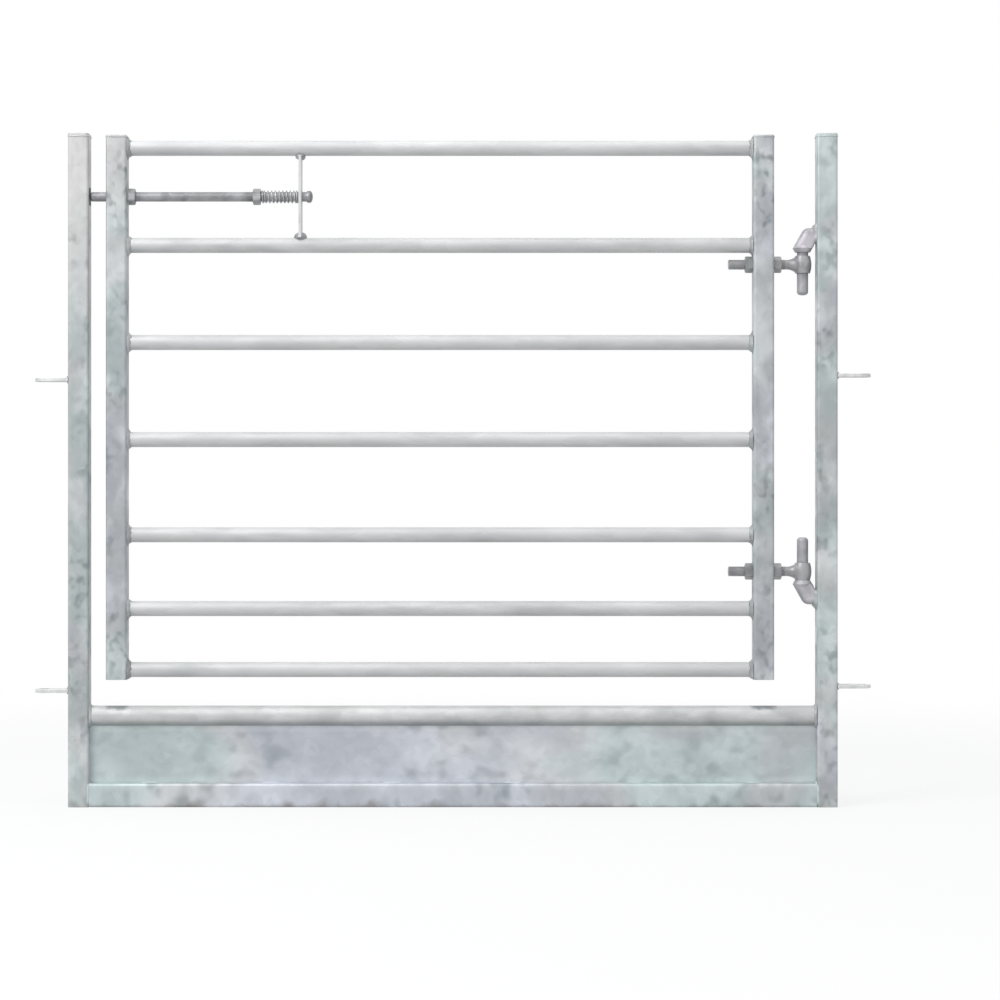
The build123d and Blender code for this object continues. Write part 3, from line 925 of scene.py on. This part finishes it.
cap_welds("post_cap_welds", ("latch_post_cap", "hanging_post_cap"), post_zinc, "frame")
cap_welds("stile_cap_welds", ("latch_stile_cap", "hinge_stile_cap"), stile_zinc, "gate")

# %% [markdown]
# ## Threads
# The eye bolts are threaded so that their nuts can set the gate true, and the latch bolt is threaded
# where the spring's nut sits. A bump in the material would leave the bar's outline smooth, so the
# thread is modelled. It is a small ridge that climbs one pitch each turn: spin does that when it is
# also given a step along the axis.

# %% Thread helpers
thread_pitch = 2.0 * MM
thread_crest = 0.42 * MM
thread_root = -0.25 * MM
thread_steps = 20


def wind(shape, loop, axis_z, turns, pitch, steps):
    """Spin a loop along a helix about a line that lies along X; the last loop is returned."""
    wound = bmesh.ops.spin(
        shape, geom=loop, cent=(0, 0, axis_z), axis=(1, 0, 0), angle=math.tau * turns,
        steps=steps, dvec=(turns * pitch / steps, 0, 0),
    )
    return wound["geom_last"]


def thread_ridge(shape, axis_z, start_x, end_x, radius):
    """A helical ridge on a bar that lies along X."""
    turns = max(round((end_x - start_x) / thread_pitch), 1)
    wide = 0.46 * thread_pitch
    narrow = 0.12 * thread_pitch
    rise = ((-wide, thread_root), (-narrow, thread_crest))
    fall = ((narrow, thread_crest), (wide, thread_root))
    points = [(start_x + along, 0, axis_z + radius + out) for along, out in rise + fall]
    ring, edges = closed_loop(shape, points)
    shape.faces.new(ring)
    last = wind(shape, ring + edges, axis_z, turns, thread_pitch, thread_steps * turns)
    bmesh.ops.contextual_create(shape, geom=verts_in(last))


# %% Eye bolt and latch bolt threads
eye_bolt_radius = 8.0 * MM
tail_margin = 1.5 * MM
past_the_nut = 6 * MM
shape = bmesh.new()
for name in ("upper_hinge_eye", "lower_hinge_eye"):
    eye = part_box(name)
    outer_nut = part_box(name.replace("hinge_eye", "outer_nut"))
    start_x = eye[0].x + tail_margin
    end_x = outer_nut[1].x + past_the_nut
    thread_ridge(shape, middle(eye).z, start_x, end_x, eye_bolt_radius)
finish_piece("eye_bolt_threads", shape, thread_zinc, "gate")

spring_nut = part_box("spring_nut")
shape = bmesh.new()
start_x = spring_nut[0].x - 12 * MM
end_x = spring_nut[1].x + 4 * MM
thread_ridge(shape, latch_axis_z, start_x, end_x, half_size(bolt).z)
finish_piece("latch_bolt_thread", shape, bolt_zinc, "latch")

# %% [markdown]
# ## The spring
# The spring pushes the bolt into its keep, and it is the one piece that changes shape. The packed
# solid is stiff, so a coil of the same wire stands in for it. It is wound with three spins: a closed
# turn, the open turns and another closed turn.

# %% Latch spring
spring_wire = 2.5 * MM
turn_count = 11
closed_turns = 1.25
closed_pitch = 3.1 * MM
coil_steps = 32
spring_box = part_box("latch_spring")
coil_radius = half_size(spring_box).z - spring_wire / 2
coil_length = spring_box[1].x - spring_box[0].x - spring_wire
open_turns = turn_count - 2 * closed_turns
open_pitch = (coil_length - 2 * closed_turns * closed_pitch) / open_turns
start = Vector((spring_box[0].x + spring_wire / 2, coil_radius, latch_axis_z))
shape = bmesh.new()
lie = Matrix.Translation(start)
ring = bmesh.ops.create_circle(shape, segments=12, radius=spring_wire / 2, matrix=lie)["verts"]
bmesh.ops.contextual_create(shape, geom=ring)
loop = ring + list({edge for vert in ring for edge in vert.link_edges})
stretches = ((closed_turns, closed_pitch), (open_turns, open_pitch), (closed_turns, closed_pitch))
for turns, pitch in stretches:
    loop = wind(shape, loop, latch_axis_z, turns, pitch, int(coil_steps * turns))
bmesh.ops.contextual_create(shape, geom=verts_in(loop))
coil = finish_piece("wound_latch_spring", shape, spring_wire_steel, None)
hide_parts("latch_spring")
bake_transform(coil)
print("open pitch", round(open_pitch / MM, 2), "mm")

# %% [markdown]
# ## Floor and light
# The picture has a plain white ground and an even, high light: rails are pale on top and grey
# beneath. A wide soft lamp overhead gives that, a second one in front and to the left lights the
# faces, and the surroundings fill the rest. The background is white to the camera and to reflections
# alone, so it doesn't flood the steel with light. The floor keeps a soft shadow near the gate, and
# fades into the background further off, so that no horizon shows.

# %% Surroundings
fill_colour = rgba(0.97, 0.98, 1.0)
fill_strength = 0.80


def seen_directly(w):
    """1 for rays from the camera, a reflection or through glass."""
    path = w.node("ShaderNodeLightPath").outputs
    seen = w.math("ADD", path["Is Camera Ray"], path["Is Glossy Ray"], clamp=True)
    return w.math("ADD", seen, path["Is Transmission Ray"], clamp=True)


def mixed_shaders(w, share, first, second):
    """Two shaders, mixed by a share of the second."""
    made = w.node("ShaderNodeMixShader")
    w.link(share, made.inputs[0])
    w.link(first.outputs[0], made.inputs[1])
    w.link(second.outputs[0], made.inputs[2])
    return made.outputs[0]


world = bpy.data.worlds.new("white_surroundings")
bpy.context.scene.world = world
world.use_nodes = True
world.node_tree.nodes.clear()
w = Wiring(world.node_tree)
fill = w.node("ShaderNodeBackground")
fill.inputs["Color"].default_value = fill_colour
fill.inputs["Strength"].default_value = fill_strength
white = w.node("ShaderNodeBackground")
white.inputs["Color"].default_value = rgba(1.0, 1.0, 1.0)
white.inputs["Strength"].default_value = 1.0
around = mixed_shaders(w, seen_directly(w), fill, white)
w.link(around, w.node("ShaderNodeOutputWorld").inputs["Surface"])
print("fill light", fill_strength)

# %% Floor
floor_half = 30.0
floor_grey = rgba(0.60, 0.60, 0.60)
fade_starts = 1.2
fade_ends = 3.0
near_glow = 1.08
near_share = 0.72
floor_shape = bmesh.new()
bmesh.ops.create_grid(floor_shape, x_segments=1, y_segments=1, size=floor_half)
floor_mesh = bpy.data.meshes.new("floor")
floor_shape.to_mesh(floor_mesh)
floor_shape.free()
floor = bpy.data.objects.new("floor", floor_mesh)
bpy.context.scene.collection.objects.link(floor)
floor_paint = bpy.data.materials.new("floor_paint")
floor_paint.use_nodes = True
floor_paint.node_tree.nodes.clear()
w = Wiring(floor_paint.node_tree)
matt = w.node("ShaderNodeBsdfDiffuse")
matt.inputs["Color"].default_value = floor_grey
distance = w.node("ShaderNodeVectorMath", operation="LENGTH")
w.link(w.place(), distance.inputs[0])
far = w.ramp(distance.outputs["Value"], fade_starts, fade_ends)
glow = w.node("ShaderNodeEmission")
w.link(w.minus(near_glow, w.times(far, near_glow - 1.0)), glow.inputs["Strength"])
share = w.plus(w.times(far, 1.0 - near_share), near_share)
painted = mixed_shaders(w, w.times(seen_directly(w), share), matt, glow)
w.link(painted, w.node("ShaderNodeOutputMaterial").inputs["Surface"])
floor_mesh.materials.append(floor_paint)
print("floor fades between", fade_starts, "and", fade_ends, "m")


# %% Lamps
def soft_lamp(name, place, aim, width, depth, power):
    """A wide lamp that faces a point."""
    data = bpy.data.lights.new(name, "AREA")
    data.shape = "RECTANGLE"
    data.size = width
    data.size_y = depth
    data.energy = power
    lamp = bpy.data.objects.new(name, data)
    lamp.location = place
    lamp.rotation_euler = (Vector(aim) - Vector(place)).to_track_quat("-Z", "Y").to_euler()
    bpy.context.scene.collection.objects.link(lamp)
    print(name, power, "W")


soft_lamp(
    "sky_lamp", place=(-0.3, -0.6, 3.8), aim=(-0.3, -0.6, 0.0), width=3.0, depth=2.0, power=33.0
)
soft_lamp(
    "front_lamp", place=(-2.2, -2.6, 3.2), aim=(-0.2, 0.0, 0.7), width=2.0, depth=2.0, power=80.0
)
bpy.context.scene.view_settings.view_transform = "Standard"
